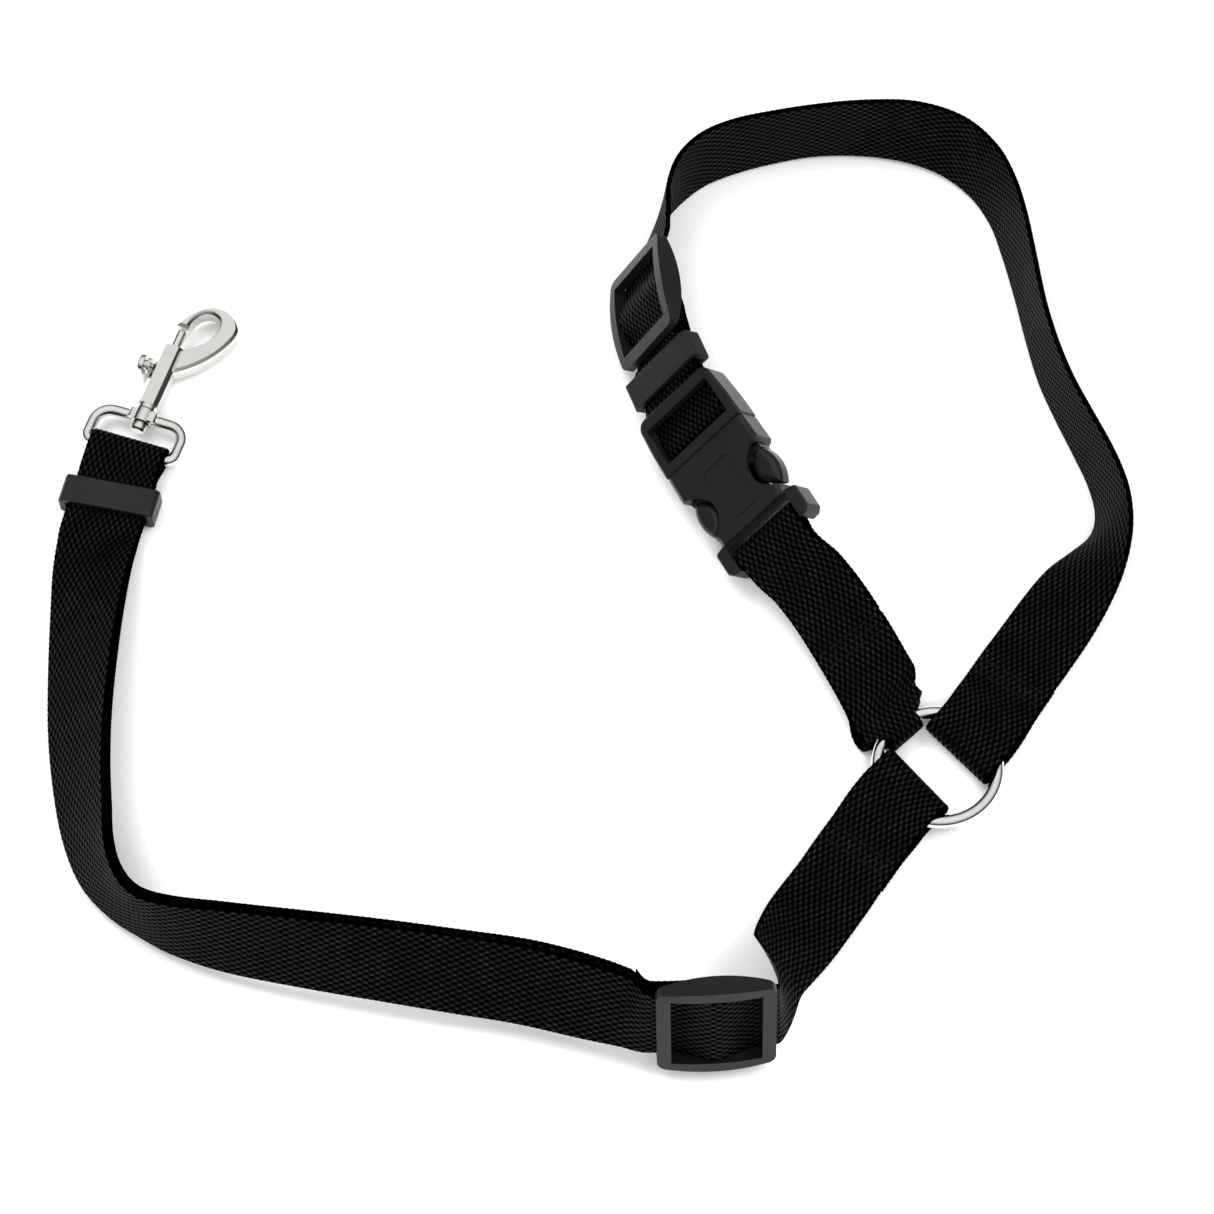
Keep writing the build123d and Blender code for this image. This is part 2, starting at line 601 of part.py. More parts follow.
def snap_body():
    """The cast body: a collar, a hollow square barrel with a thumb slot, and the hook."""
    width = BARREL_WIDTH
    collar = Pos(0, (BODY_START + BARREL_START) / 2, 0) * Rot(90, 0, 0)
    collar = collar * Cylinder(width / 2 - 0.1, BARREL_START - BODY_START)
    barrel = Pos(0, (BARREL_START + BARREL_END) / 2, 0) * Box(width, BARREL_LENGTH, width)
    barrel = chamfer(barrel.edges().filter_by(Axis.Y), 1.3)
    hook_base = BARREL_END - 26.0
    outer = [
        (7.4, 19.8), (12.2, 24.8), (16.3, 31.8), (17.4, 38.4), (13.8, 43.0), (7.0, 44.2), (1.8, 40.8),
    ]
    inner = [(2.8, 38.0), (6.2, 41.2), (10.2, 39.8), (10.8, 34.6), (7.6, 29.2)]
    start, tip, gate, crotch = (2.8, 16.6), (-2.1, 34.0), (2.1, 34.0), (2.8, 25.6)
    outline = make_face(
        [
            Spline(start, *outer, tip),
            Line(tip, gate),
            Spline(gate, *inner, crotch),
            Line(crotch, start),
        ]
    )
    hook = extrude(Pos(0, hook_base) * outline, HOOK_THICKNESS / 2, both=True)
    hook = chamfer(hook.faces().filter_by(Axis.Z).edges(), 0.9)
    bore_length = BARREL_END - BORE_START + 1
    bore = Pos(0, BORE_START + bore_length / 2, 0) * Rot(90, 0, 0)
    bore = bore * Cylinder(BOLT_DIAMETER / 2 + 0.1, bore_length)
    slot_start = KNOB_Y - BOLT_TRAVEL - 1.3
    slot_length = BOLT_TRAVEL + 2.6
    slot = Pos(-width / 2, slot_start + slot_length / 2, 0) * Box(width, slot_length, 2.3)
    return collar + barrel + hook - bore - slot


def snap_bolt():
    """The sprung bolt that closes the hook, with the post that carries the thumb knob."""
    length = BOLT_END - BOLT_START
    rod = Pos(0, BOLT_START + length / 2, 0) * Rot(90, 0, 0) * Cylinder(BOLT_DIAMETER / 2, length)
    rod = chamfer(rod.edges().group_by(Axis.Y)[-1], 0.5)
    post = Pos(-KNOB_INNER / 2, KNOB_Y, 0) * Rot(0, 90, 0) * Cylinder(1.0, KNOB_INNER)
    return rod + post


def snap_thumb_knob():
    """The round knob that the thumb pulls back."""
    along = Pos(-KNOB_INNER, KNOB_Y, 0) * Rot(0, -90, 0)
    flange = Pos(0, 0, 0.4) * Cylinder(KNOB_DIAMETER / 2 - 0.5, 0.8)
    waist = Pos(0, 0, 1.3) * Cylinder(KNOB_DIAMETER / 4, 2.0)
    disc = Pos(0, 0, 2.8) * Cylinder(KNOB_DIAMETER / 2, 2.0)
    disc = fillet(disc.edges().group_by(Axis.Z)[-1], 0.8)
    return along * (flange + waist + disc)


def snap_spring():
    """The compression spring behind the bolt."""
    wire, radius, gap = 0.35, 1.25, 0.3
    length = BOLT_START - BORE_START - 2 * gap - wire
    helix = Helix(pitch=length / 9, height=length, radius=radius)
    start = Plane(origin=helix @ 0, z_dir=helix % 0)
    coil = sweep(start * Circle(wire / 2), path=helix)
    return Pos(0, BORE_START + gap + wire / 2, 0) * Rot(-90, 0, 0) * coil


def build_nodes():
    """Every node of the object, placed in the working frame."""
    half_slider, half_keeper = SLIDER_LENGTH / 2, KEEPER_LENGTH / 2
    loop_spans = [
        (LOOP_SLIDER_STATION, half_slider, half_slider, 3.5),
        (LOOP_KEEPER_STATION, half_keeper, half_keeper, 3.5),
        (len(LOOP_ROUTE) - 1, PLUG_LENGTH - PLUG_BAR_PLACE, 0, 3.5),
    ]
    short_spans = [(0, 0, 5, 8), (len(BUCKLE_STRAP_ROUTE) - 1, SOCKET_BAR + 2.4, 0, 12)]
    tether_spans = [
        (TETHER_SLIDER_STATION, half_slider, half_slider, 9),
        (TETHER_KEEPER_STATION, half_keeper + KEEPER_TRAVEL, half_keeper, 7),
        (len(TETHER_ROUTE) - 1, 6, 0, 6),
    ]
    loop = Route(LOOP_ROUTE, loop_spans)
    short = Route(BUCKLE_STRAP_ROUTE, short_spans)
    tether = Route(TETHER_ROUTE, tether_spans)
    loop_slider = loop.marks[LOOP_SLIDER_STATION]
    tether_slider = tether.marks[TETHER_SLIDER_STATION]
    buckle = loop.at(loop.length).reversed().moved(along=-PLUG_BAR_PLACE)
    eye = tether.at(tether.length)
    tether_hump = [
        (tether_slider + half_slider + 26, -LAYER_OFFSET - 2.4),
        (tether_slider + half_slider + 70, -LAYER_OFFSET - 1.2),
        (tether_slider + half_slider + 130, -LAYER_OFFSET - 0.4),
        (tether_slider + half_slider + 170, -LAYER_OFFSET),
    ]
    nodes = {
        "loop_strap": adjuster_strap(loop, loop_slider, PLUG_FOLD_RADIUS, [], LOOP_TAIL, -1),
        "buckle_strap": short_strap(short),
        "tether_strap": adjuster_strap(
            tether, tether_slider, EYE_FOLD_RADIUS, tether_hump, TETHER_TAIL, 1
        ),
        "o_ring": ring(),
        "loop_slider": loop.at(loop_slider).reversed().place(slider_frame()),
        "tether_slider": tether.at(tether_slider).place(slider_frame()),
        "loop_keeper": loop.at(loop.marks[LOOP_KEEPER_STATION]).place(keeper()),
        "tether_keeper": tether.at(tether.marks[TETHER_KEEPER_STATION]).place(keeper()),
        "buckle_plug": buckle.place(buckle_plug()),
        "buckle_socket": buckle.place(buckle_socket()),
        "latch_arm_left": buckle.place(latch_arm(-1)),
        "latch_arm_right": buckle.place(latch_arm(1)),
    }
    for make in (snap_eye, swivel_rivet, snap_body, snap_bolt, snap_thumb_knob, snap_spring):
        nodes[make.__name__] = eye.place(make())
    nodes["loop_ring_stitches"] = stitching(loop, 24)
    nodes["tether_ring_stitches"] = stitching(tether, 24)
    nodes["buckle_strap_stitches"] = stitching(short, 27)
    return nodes


def main():
    nodes = build_nodes()
    boxes = [shape.bounding_box() for shape in nodes.values()]
    low = [min(getattr(b.min, axis) for b in boxes) for axis in "XYZ"]
    high = [max(getattr(b.max, axis) for b in boxes) for axis in "XYZ"]
    to_origin = Pos(-(low[0] + high[0]) / 2, -(low[1] + high[1]) / 2, -low[2])
    os.makedirs("parts", exist_ok=True)
    for name, shape in nodes.items():
        export_step(shape.moved(to_origin), f"parts/{name}.step")


main()
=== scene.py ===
"""The looks of a grooming restraint: black ribbed webbing, satin black mouldings and polished metal.

The straps are rebuilt here as woven webbing, along the same stations as the CAD straps.
Route geometry is in millimetres in a frame whose origin is under the ring's centre; to_row() turns
it into the row frame's metres. The mouldings and castings keep the CAD shapes, with eased edges.
"""
import bpy
import bmesh
import math
from mathutils import Matrix, Vector


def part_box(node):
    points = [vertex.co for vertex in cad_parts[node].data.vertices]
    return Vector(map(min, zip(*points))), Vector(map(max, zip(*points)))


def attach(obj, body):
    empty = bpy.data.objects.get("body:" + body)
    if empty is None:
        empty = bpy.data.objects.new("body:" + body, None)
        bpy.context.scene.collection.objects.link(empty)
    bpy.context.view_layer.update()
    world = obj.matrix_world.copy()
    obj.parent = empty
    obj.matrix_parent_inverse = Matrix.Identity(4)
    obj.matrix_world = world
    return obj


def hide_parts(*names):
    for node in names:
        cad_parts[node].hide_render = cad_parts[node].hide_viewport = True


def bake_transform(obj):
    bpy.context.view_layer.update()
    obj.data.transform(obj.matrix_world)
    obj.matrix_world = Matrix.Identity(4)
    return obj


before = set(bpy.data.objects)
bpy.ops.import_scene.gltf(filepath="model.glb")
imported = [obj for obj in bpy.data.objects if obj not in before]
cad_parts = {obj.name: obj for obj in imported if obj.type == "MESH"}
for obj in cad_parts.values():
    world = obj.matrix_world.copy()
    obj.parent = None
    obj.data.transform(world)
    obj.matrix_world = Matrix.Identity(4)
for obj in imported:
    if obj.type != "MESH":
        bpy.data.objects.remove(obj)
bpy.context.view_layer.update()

# Sizes in millimetres
STRAP_WIDTH = 25.0
STRAP_THICKNESS = 1.6
LAYER_GAP = 0.3
SOFT_GAP = 0.3
RING_WIRE = 4.0
RING_RADIUS = 18.0
EYE_WIRE = 3.8
RING_FOLD_FLAT = 12.0
RING_SEWN_LENGTH = 32.0
FOLD_EASE = 9.0
SLIDER_LENGTH = 34.0
SLIDER_END_BAR = 4.0
SLIDER_CENTRE_BAR = 2.8
SLIDER_WAVE = 4.2
TETHER_TAIL = 24.0
LOOP_TAIL = 17.0
KEEPER_LENGTH = 9.5
KEEPER_TRAVEL = 6.0
PLUG_LENGTH = 21.5
PLUG_BAR = 3.2
PLUG_BAR_PLACE = 8.0
SOCKET_LENGTH = 30.0
SOCKET_FRAME_LENGTH = 9.0
SOCKET_BAR = 3.6

HALF_WIDTH = STRAP_WIDTH / 2
LAYER_OFFSET = (STRAP_THICKNESS + LAYER_GAP) / 2
RING_FOLD_RADIUS = RING_WIRE / 2 + SOFT_GAP + STRAP_THICKNESS / 2
EYE_FOLD_RADIUS = EYE_WIRE / 2 + SOFT_GAP + STRAP_THICKNESS / 2
PLUG_FOLD_RADIUS = PLUG_BAR / 2 + SOFT_GAP + STRAP_THICKNESS / 2
SOCKET_FOLD_RADIUS = SOCKET_BAR / 2 + SOFT_GAP + STRAP_THICKNESS / 2
SLIDER_FOLD_RADIUS = SLIDER_CENTRE_BAR / 2 + SOFT_GAP + STRAP_THICKNESS / 2
RUN_UNDER_END_BAR = LAYER_OFFSET
RUN_OVER_CENTRE = RUN_UNDER_END_BAR + SLIDER_WAVE
SECOND_OVER_CENTRE = RUN_OVER_CENTRE - 2 * LAYER_OFFSET
CENTRE_BAR_LEVEL = SECOND_OVER_CENTRE - SLIDER_FOLD_RADIUS
TAIL_LEVEL = CENTRE_BAR_LEVEL - SLIDER_FOLD_RADIUS

BUCKLE_X, BUCKLE_Y = -66.0, 103.5
BUCKLE_HEADING = 119.0
BUCKLE_ROLL = 39.0
BUCKLE_LIFT = 7.0
SOCKET_BAR_PLACE = SOCKET_LENGTH + SOCKET_FRAME_LENGTH - SOCKET_BAR

# The weave: staggered floats and a scalloped edge, and how finely the webbing's mesh follows them
WEAVE_ALONG = 3.4
WEAVE_ACROSS = 1.9
WEAVE_HEIGHT = 0.26
WEAVE_MIDDLE = 0.55
EDGE_RIPPLE = 0.10
PLAIN_EDGE = 0.7
MESH_STEP = 0.55
MESH_COLUMNS = 38
EDGE_TURNS = 3

# Stitching across each sewn end
STITCH_PITCH = 3.0
STITCH_LENGTH = 2.5
STITCH_ROWS = 3
STITCH_ROW_GAP = 2.4
FIRST_STITCH_ROW = 24.0
THREAD_HALF_WIDTH = 0.30
THREAD_HALF_HEIGHT = 0.24

# How the mouldings and castings are eased and shaded
EASE_SEGMENTS = 2
EASE_ANGLE = 28
SMOOTH_ANGLE = 32
FLAT_ANGLE = 0.05


def along_buckle(distance):
    """The point of the buckle's axis at a distance from the split, positive on the plug's side."""
    angle = math.radians(BUCKLE_HEADING)
    return BUCKLE_X + distance * math.cos(angle), BUCKLE_Y + distance * math.sin(angle)


# Strap routes: stations of x, y, heading, roll and lift, as in the CAD model
LOOP_ROUTE = [
    (8.2, 6.4, 42, 0, RING_FOLD_RADIUS),
    (14, 13.5, 50, 0, RING_FOLD_RADIUS),
    (22, 26, 56, 0, 1.6),
    (30.5, 38.5, 57, 1, 1.0),
    (38.5, 50, 57, 5, 0.4),
    (46.5, 61.5, 59, 22, 0),
    (53, 71, 64, 48, 0),
    (56.5, 79, 76, 67, 0),
    (57, 88, 94, 77, 0),
    (54.5, 99, 108, 82, 0),
    (50, 111, 112, 84, 0),
    (45, 124, 110, 85, 0),
    (41, 137, 105, 84, 0),
    (38, 152, 99, 84, 0),
    (35.5, 170, 97, 82, 0),
    (33, 186, 100, 79, 0),
    (30, 199, 108, 77, 0),
    (24.5, 211, 122, 73, 0),
    (15, 221, 143, 70, 0),
    (2, 226.5, 165, 73, 0),
    (-14, 228, 177, 80, 0),
    (-30, 227, 184, 84, 0),
    (-45, 224, 192, 83, 0),
    (-57, 220.5, 200, 81, 0),
    (-67, 215.5, 211, 82, 0),
    (-74.5, 208, 228, 86, 0),
    (-79.5, 198.5, 248, 95, 0),
    (-82, 188, 260, 105, 1.4),
    (-83.5, 176, 266, 111, 3.4),
    (-84.3, 165, 272, 115, 5.0),
    (-83.9, 155.5, 277, 118, 5.8),
    (-82.6, 143.5, 282, 121, 6.5),
    (-79.8, 130.5, 291, 130, 6.9),
    (*along_buckle(PLUG_LENGTH), BUCKLE_HEADING + 180, 180 - BUCKLE_ROLL, BUCKLE_LIFT),
    (*along_buckle(PLUG_BAR_PLACE), BUCKLE_HEADING + 180, 180 - BUCKLE_ROLL, BUCKLE_LIFT),
]
LOOP_SLIDER_STATION = 30
LOOP_KEEPER_STATION = 32

BUCKLE_STRAP_ROUTE = [
    (-10.4, 12.4, 133, 0, RING_FOLD_RADIUS),
    (-12.9, 17.5, 127, 2, 3.1),
    (-17, 26, 122, 12, 2.9),
    (-24, 38.5, 120, 24, 3.8),
    (-34, 54, 119, 33, 5.6),
    (*along_buckle(-SOCKET_BAR_PLACE), BUCKLE_HEADING, BUCKLE_ROLL, BUCKLE_LIFT),
]

TETHER_ROUTE = [
    (-8, -6.7, 220, 0, RING_FOLD_RADIUS),
    (-13.5, -12.5, 228, 0, RING_FOLD_RADIUS),
    (-23, -25, 234, 0, 1.6),
    (-32, -38, 235, 2, 1.3),
    (-40, -50, 236, 12, 2.0),
    (-47, -62, 234, 34, 3.4),
    (-54.5, -74, 220, 56, 4.6),
    (-68, -84, 184, 70, 4.9),
    (-84.5, -83.5, 173, 62, 5.0),
    (-101, -79, 168, 53, 4.6),
    (-122, -73, 169, 47, 4.2),
    (-142, -69.5, 171, 47, 4.2),
    (-162, -66.5, 172, 51, 4.2),
    (-185, -63, 171, 57, 3.6),
    (-208, -59, 169, 65, 2.5),
    (-224, -55, 162, 76, 1.3),
    (-234, -50.5, 150, 82, 0.9),
    (-241, -44.5, 134, 76, 1.0),
    (-247, -35, 118, 64, 1.2),
    (-251, -22, 106, 53, 1.5),
    (-254, -6, 98, 46, 1.6),
    (-256, 12, 93, 39, 1.7),
    (-256.8, 32, 91, 32, 1.8),
    (-257, 52, 89, 23, 2.0),
    (-256.8, 68, 86, 11, 2.6),
    (-255.6, 80, 79, 2, 3.1),
    (-253.4, 91.5, 78, 0, 3.2),
    (-251, 102.5, 76, 0, 3.1),
    (-249, 110, 72, 0, EYE_FOLD_RADIUS),
]
TETHER_SLIDER_STATION = 7
TETHER_KEEPER_STATION = 26

ring_low, ring_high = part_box("o_ring")
RING_CENTRE = Vector([(a + b) / 2 for a, b in zip(ring_low, ring_high)])
FLOOR_SHIFT = RING_CENTRE - Vector((0, 0, (RING_FOLD_RADIUS + STRAP_THICKNESS / 2) / 1000))


def to_row(point):
    """A point of the ring's millimetre frame, in the row frame's metres."""
    return FLOOR_SHIFT + point / 1000


# ---------------------------------------------------------------- materials


class Nodes:
    """A short way to build a node tree. An input is named, or i0, i1 and so on by its number."""

    def __init__(self, name):
        self.material = bpy.data.materials.new(name)
        self.material.use_nodes = True
        self.tree = self.material.node_tree
        self.shader = self.tree.nodes["Principled BSDF"]

    def add(self, kind, settings=None, **inputs):
        node = self.tree.nodes.new("ShaderNode" + kind)
        for key, value in (settings or {}).items():
            setattr(node, key, value)
        for key, value in inputs.items():
            numbered = key[0] == "i" and key[1:].isdigit()
            self.feed(node.inputs[int(key[1:]) if numbered else key], value)
        return node

    def feed(self, socket, value):
        if isinstance(value, bpy.types.NodeSocket):
            self.tree.links.new(value, socket)
        else:
            socket.default_value = value

    def math(self, operation, a, b=0.0):
        return self.add("Math", {"operation": operation}, i0=a, i1=b).outputs[0]

    def noise(self, scale, detail, coordinates):
        return self.add("TexNoise", Scale=scale, Detail=detail, Vector=coordinates).outputs["Fac"]

    def stretched(self, coordinates, scale):
        node = self.add("Mapping", Vector=coordinates)
        node.inputs["Scale"].default_value = scale
        return node.outputs["Vector"]

    def ramp(self, value, stops):
        node = self.add("ValToRGB")
        self.feed(node.inputs["Fac"], value)
        elements = node.color_ramp.elements
        while len(elements) < len(stops):
            elements.new(0.5)
        for element, (place, colour) in zip(elements, stops):
            element.position = place
            element.color = (*colour, 1)
        return node.outputs["Color"]

    def bump(self, height, strength, distance):
        node = self.add("Bump", Strength=strength, Distance=distance, Height=height)
        self.feed(self.shader.inputs["Normal"], node.outputs["Normal"])

    def set(self, **values):
        for key, value in values.items():
            self.feed(self.shader.inputs[key.replace("_", " ")], value)
        return self.material


def webbing_material():
    """Dull black yarn: staggered floats with fine filaments along each one. The base colour follows the
    float height, as painted highlight on the float tops and painted shade in the hollows between them;
    the plain edges get the hollows' near black.
    """
    n = Nodes("black_webbing")
    uv = n.add("UVMap", {"uv_map": "weave"}).outputs["UV"]
    split = n.add("SeparateXYZ", Vector=uv)
    along, across = split.outputs["X"], split.outputs["Y"]
    u = n.math("MULTIPLY", along, math.pi / WEAVE_ALONG)
    v = n.math("MULTIPLY", across, math.pi / WEAVE_ACROSS)
    cu, cv = n.math("COSINE", u), n.math("COSINE", v)
    su, sv = n.math("SINE", u), n.math("SINE", v)
    even = n.math("POWER", n.math("MULTIPLY", cu, cv), 2.0)
    odd = n.math("POWER", n.math("MULTIPLY", su, sv), 2.0)
    on_face = n.math("LESS_THAN", n.math("ABSOLUTE", across), HALF_WIDTH - PLAIN_EDGE)
    float_height = n.math("MULTIPLY", n.math("ADD", even, odd), on_face)
    filaments = n.noise(1.0, 3.0, n.stretched(uv, (1.2, 9.0, 1.0)))
    blotch = n.noise(0.12, 2.0, uv)
    height = n.math("ADD", float_height, n.math("MULTIPLY", filaments, 0.5))
    # tone: the yarn's filament and blotch variation, scaled by the float height, so the float tops are
    # painted lighter as painted highlight and the hollows darker as painted shade
    tone = n.math("MULTIPLY", float_height, n.math("ADD", n.math("MULTIPLY", filaments, 0.9), blotch))
    n.bump(height, 0.9, 0.00028)
    # base colour from tone: near black in the hollows as painted shade, also on the plain edges, up to
    # dark grey on the float tops as painted highlight
    colour = n.ramp(tone, [(0.25, (0.0004, 0.0004, 0.0004)), (0.7, (0.0014, 0.0014, 0.0015)),
                           (1.15, (0.010, 0.010, 0.0105))])
    roughness = n.math("ADD", n.math("MULTIPLY", filaments, 0.25), 0.4)
    shine = n.ramp(float_height, [(0.3, (0.0, 0.0, 0.0)), (0.95, (0.2, 0.2, 0.2))])
    return n.set(Base_Color=colour, Roughness=roughness, Specular_IOR_Level=shine)


def thread_material():
    """Bonded thread with a twist."""
    n = Nodes("black_thread")
    place = n.add("TexCoord").outputs["Object"]
    twist = n.add("TexWave", {"bands_direction": "DIAGONAL"}, Scale=900.0, Distortion=1.5, Vector=place)
    n.bump(twist.outputs["Fac"], 0.5, 0.0001)
    colour = n.ramp(twist.outputs["Fac"], [(0.0, (0.002, 0.002, 0.002)), (1.0, (0.008, 0.008, 0.0085))])
    return n.set(Base_Color=colour, Roughness=0.5, Specular_IOR_Level=0.12)


def plastic_material(name, tone, roughness):
    """Moulded acetal: a fine spark-eroded grain, slight flow marks, and scuffs that dull the gloss."""
    n = Nodes(name)
    place = n.add("TexCoord").outputs["Object"]
    grain = n.noise(5200.0, 2.0, place)
    flow = n.noise(70.0, 4.0, place)
    scuffs = n.noise(420.0, 5.0, n.stretched(place, (1.0, 5.0, 2.0)))
    n.bump(n.math("ADD", grain, n.math("MULTIPLY", flow, 0.6)), 0.16, 0.00012)
    low = tuple(c * 0.8 for c in tone)
    high = tuple(c * 1.35 for c in tone)
    colour = n.ramp(n.math("ADD", n.math("MULTIPLY", flow, 0.6), n.math("MULTIPLY", grain, 0.4)),
                    [(0.3, low), (0.7, high)])
    dull = n.ramp(scuffs, [(0.45, (roughness,) * 3), (0.75, (roughness + 0.16,) * 3)])
    return n.set(Base_Color=colour, Roughness=dull, Specular_IOR_Level=0.3)


def metal_material(name, tone, roughness):
    """Polished nickel plate, with faint polishing lines and hairline scratches."""
    n = Nodes(name)
    place = n.add("TexCoord").outputs["Object"]
    lines = n.noise(300.0, 6.0, n.stretched(place, (1.0, 14.0, 3.0)))
    cloud = n.noise(90.0, 3.0, place)
    n.bump(lines, 0.05, 0.00006)
    colour = n.ramp(cloud, [(0.3, tuple(c * 0.93 for c in tone)), (0.7, tone)])
    dull = n.ramp(lines, [(0.35, (roughness,) * 3), (0.8, (roughness + 0.12,) * 3)])
    return n.set(Base_Color=colour, Roughness=dull, Metallic=1.0)


MATERIALS = {
    "webbing": webbing_material(),
    "thread": thread_material(),
    "slider_plastic": plastic_material("slider_acetal", (0.0068, 0.007, 0.0074), 0.36),
    "buckle_plastic": plastic_material("buckle_acetal", (0.0072, 0.0074, 0.0078), 0.34),
    "buckle_buttons": plastic_material("button_acetal", (0.0075, 0.0077, 0.0081), 0.26),
    "polished_metal": metal_material("polished_nickel", (0.80, 0.785, 0.76), 0.09),
    "spring_steel": metal_material("drawn_wire", (0.55, 0.55, 0.56), 0.22),
}


def finish_piece(piece, slot, body):
    """Gives a piece the material of its slot and the body it rides on."""
    piece.data.materials.clear()
    piece.data.materials.append(MATERIALS[slot])
    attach(piece, body)
    return piece


# ---------------------------------------------------------------- webbing


class Frame:
    """A point on a strap's route, with the directions of travel, of its right edge, and of its face."""

    def __init__(self, point, travel, right, face):
        self.point, self.travel, self.right, self.face = point, travel, right, face

    def at(self, across=0.0, along=0.0, out=0.0):
        return self.point + self.right * across + self.travel * along + self.face * out

    def moved(self, along=0.0, out=0.0):
        return Frame(self.at(0, along, out), self.travel, self.right, self.face)


class Route:
    """A smooth line through stations, with stiff spans that hardware keeps straight."""

    def __init__(self, stations, stiff_spans):
        self.stations = stations
        self.marks = [0.0]
        for a, b in zip(stations, stations[1:]):
            self.marks.append(self.marks[-1] + math.hypot(b[0] - a[0], b[1] - a[1]))
        self.length = self.marks[-1]
        self.slopes = [self._slope(i) for i in range(len(stations))]
        self.spans = [(self.marks[i], before, after, fade) for i, before, after, fade in stiff_spans]

    def _slope(self, i):
        a, b = max(i - 1, 0), min(i + 1, len(self.stations) - 1)
        span = self.marks[b] - self.marks[a]
        return [(q - p) / span for p, q in zip(self.stations[a], self.stations[b])]

    def smooth_values(self, s):
        """x, y, heading, roll and lift at a distance s, on a cubic through the stations."""
        i = 0
        while i < len(self.marks) - 2 and s > self.marks[i + 1]:
            i += 1
        span = self.marks[i + 1] - self.marks[i]
        t = min(max((s - self.marks[i]) / span, 0.0), 1.0)
        weights = (
            (1 + 2 * t) * (1 - t) ** 2,
            t * (1 - t) ** 2 * span,
            t * t * (3 - 2 * t),
            t * t * (t - 1) * span,
        )
        rows = (self.stations[i], self.slopes[i], self.stations[i + 1], self.slopes[i + 1])
        return [sum(w * r[k] for w, r in zip(weights, rows)) for k in range(5)]

    def values(self, s):
        """The same, eased on to a straight line where hardware keeps the strap stiff."""
        result = self.smooth_values(s)
        for mark, before, after, fade in self.spans:
            outside = max(mark - before - s, s - mark - after, 0.0)
            if outside >= fade:
                continue
            straight = self.smooth_values(mark)
            heading = math.radians(straight[2])
            straight[0] += (s - mark) * math.cos(heading)
            straight[1] += (s - mark) * math.sin(heading)
            t = 1 - outside / fade
            weight = t * t * (3 - 2 * t)
            result = [v + (w - v) * weight for v, w in zip(result, straight)]
        return result

    def at(self, s):
        x, y, heading, roll, lift = self.values(s)
        heading, roll = math.radians(heading), math.radians(roll)
        z = HALF_WIDTH * abs(math.sin(roll)) + STRAP_THICKNESS / 2 * abs(math.cos(roll)) + lift
        travel = Vector((math.cos(heading), math.sin(heading), 0))
        level = Vector((math.sin(heading), -math.cos(heading), 0))
        right = level * math.cos(roll) + Vector((0, 0, 1)) * math.sin(roll)
        return Frame(Vector((x, y, z)), travel, right, right.cross(travel))


def smooth_steps(knots, s):
    """A value that eases between (place, value) knots."""
    if s <= knots[0][0]:
        return knots[0][1]
    for (a, u), (b, v) in zip(knots, knots[1:]):
        if s <= b:
            t = (s - a) / (b - a)
            return u + (v - u) * t * t * (3 - 2 * t)
    return knots[-1][1]


def layer(route, start, end, offsets, side=1, halves=None):
    """Sections of webbing along a route, held off its middle plane by offsets towards one side.

    offsets and halves (the half widths, where they change) are knots of (distance, value).
    """
    steps = max(2, math.ceil(abs(end - start) / MESH_STEP))
    sections = []
    for i in range(steps + 1):
        s = start + (end - start) * i / steps
        at = route.at(s)
        face = at.face if end > start else -at.face
        half = smooth_steps(halves, s) if halves else HALF_WIDTH
        sections.append((at.at(out=side * smooth_steps(offsets, s)), at.right, face, half))
    return sections


def fold(at, radius, towards, face_first, half=HALF_WIDTH):
    """Sections of webbing that goes half way round a bar, starting on the side face_first."""
    ahead = at.travel * towards
    out = at.face * face_first
    turns = max(6, math.ceil(math.pi * radius / MESH_STEP))
    sections = []
    for i in range(1, turns):
        angle = math.pi * i / turns
        normal = out * math.cos(angle) + ahead * math.sin(angle)
        face = normal * face_first if towards > 0 else normal * -face_first
        sections.append((at.point + normal * radius, at.right, face, half))
    return sections


def cross_section(half):
    """The webbing's rounded outline as (across, out, lies on a face), once round, anticlockwise."""
    edge = STRAP_THICKNESS / 2
    flat = half - edge * 0.75
    top = [(flat - 2 * flat * i / (MESH_COLUMNS - 1), edge, True) for i in range(MESH_COLUMNS)]
    left = []
    for t in range(1, EDGE_TURNS + 1):
        angle = math.pi * t / (EDGE_TURNS + 1)
        left.append((-flat - 0.75 * edge * math.sin(angle), edge * math.cos(angle), False))
    half_round = top + left
    return half_round + [(-across, -out, on_face) for across, out, on_face in half_round]


def weave_bump(along, across):
    """How proud the yarn stands: floats in staggered rows."""
    u, v = math.pi * along / WEAVE_ALONG, math.pi * across / WEAVE_ACROSS
    return (math.cos(u) * math.cos(v)) ** 2 + (math.sin(u) * math.sin(v)) ** 2


def end_cap(base, count, forward):
    """The faces that close a band's end: strips between its face and its back, with the round edges."""
    faces = []
    for j in range(MESH_COLUMNS + EDGE_TURNS - 1):
        across = base + (2 * MESH_COLUMNS + 2 * EDGE_TURNS - 1 - j) % count
        before_across = base + (2 * MESH_COLUMNS + 2 * EDGE_TURNS - 2 - j) % count
        corners = list(dict.fromkeys((base + j, base + j + 1, before_across, across)))
        if len(corners) >= 3:
            faces.append(tuple(corners if forward else reversed(corners)))
    return faces


def linked_object(name, work):
    """An object in the scene from a bmesh, smooth shaded."""
    mesh = bpy.data.meshes.new(name)
    work.to_mesh(mesh)
    work.free()
    mesh.polygons.foreach_set("use_smooth", [True] * len(mesh.polygons))
    piece = bpy.data.objects.new(name, mesh)
    bpy.context.scene.collection.objects.link(piece)
    return piece


